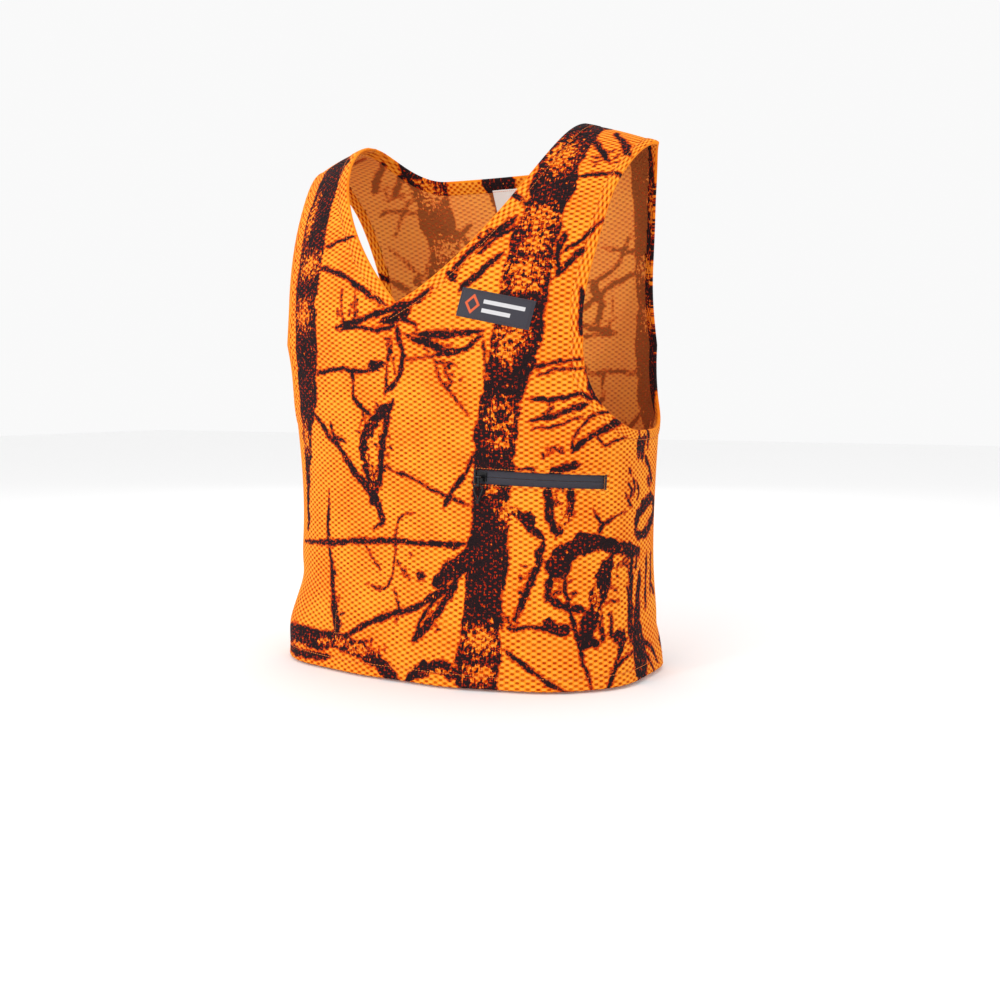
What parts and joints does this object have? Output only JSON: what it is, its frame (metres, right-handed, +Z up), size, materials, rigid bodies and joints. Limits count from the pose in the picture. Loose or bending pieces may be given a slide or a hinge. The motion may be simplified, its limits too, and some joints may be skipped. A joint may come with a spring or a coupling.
{
  "type": "blaze orange vest",
  "caption": "Pull-over V-neck vest of coarse orange mesh in its worn shape, with turned bands at neck and armholes, a curved zip pocket with a moving slider, and an inner pocket.",
  "frame": {"origin": "middle of the plane of the hem, where the vest stands", "axes": "+Z up towards the shoulders, -Y out of the front of the vest, +X towards the wearer's left"},
  "size_m": [0.406, 0.274, 0.547],
  "materials": {
    "blaze_mesh": "matte knitted mesh, blaze orange with a dark branch print",
    "band_mesh": "matte knitted mesh, turned double",
    "thread": "sewing thread, slight sheen",
    "woven_label": null,
    "care_label": "satin tape, plain",
    "zip_tape": "matte woven tape, charcoal",
    "zip_coil": "satin nylon coil, black",
    "slider_metal": "gloss black enamel",
    "pull_cord": "braided cord, black",
    "pocket_cloth": "matte knitted mesh, plain orange"
  },
  "bodies": {
    "vest": {"front_panel": "blaze_mesh", "back_panel": "blaze_mesh", "neck_band_left": "band_mesh", "neck_band_right": "band_mesh", "neck_band_back": "band_mesh", "armhole_band_left": "band_mesh", "armhole_band_right": "band_mesh", "side_overlock_left": "thread", "side_overlock_right": "thread", "shoulder_overlock_left": "thread", "shoulder_overlock_right": "thread", "chest_label": "woven_label", "neck_label": "care_label", "zip_tape_upper": "zip_tape", "zip_tape_lower": "zip_tape", "zip_coil_upper": "zip_coil", "zip_coil_lower": "zip_coil", "zip_top_stops": "zip_coil", "zip_bottom_stop": "zip_coil", "zip_pocket_bag": "pocket_cloth", "inner_pocket_bag": "pocket_cloth", "zip_end_tacks": "thread", "inner_pocket_tacks": "thread"},
    "slider": {"zip_slider": "slider_metal"},
    "pull_tab": {"zip_pull_tab": "slider_metal"},
    "pull_cord": {"zip_pull_cord": "pull_cord", "zip_pull_knot": "pull_cord"}
  },
  "joints": [
    {"name": "zip_slide", "type": "hinge", "parent": "vest", "child": "slider", "pos_m": [0.0665, 0.0323, 0.1962], "axis": [0.0384, 0.0181, 0.9991], "range_deg": [0, 46.1]},
    {"name": "tab_swing", "type": "hinge", "parent": "slider", "child": "pull_tab", "pos_m": [0.0722, -0.11827, 0.19871], "axis": [-0.9985, -0.0372, 0.0391], "range_deg": [0, 110]},
    {"name": "cord_swing", "type": "hinge", "parent": "pull_tab", "child": "pull_cord", "pos_m": [0.0719, -0.11842, 0.19071], "axis": [-0.9985, -0.0372, 0.0391], "range_deg": [0, 70]}
  ]
}
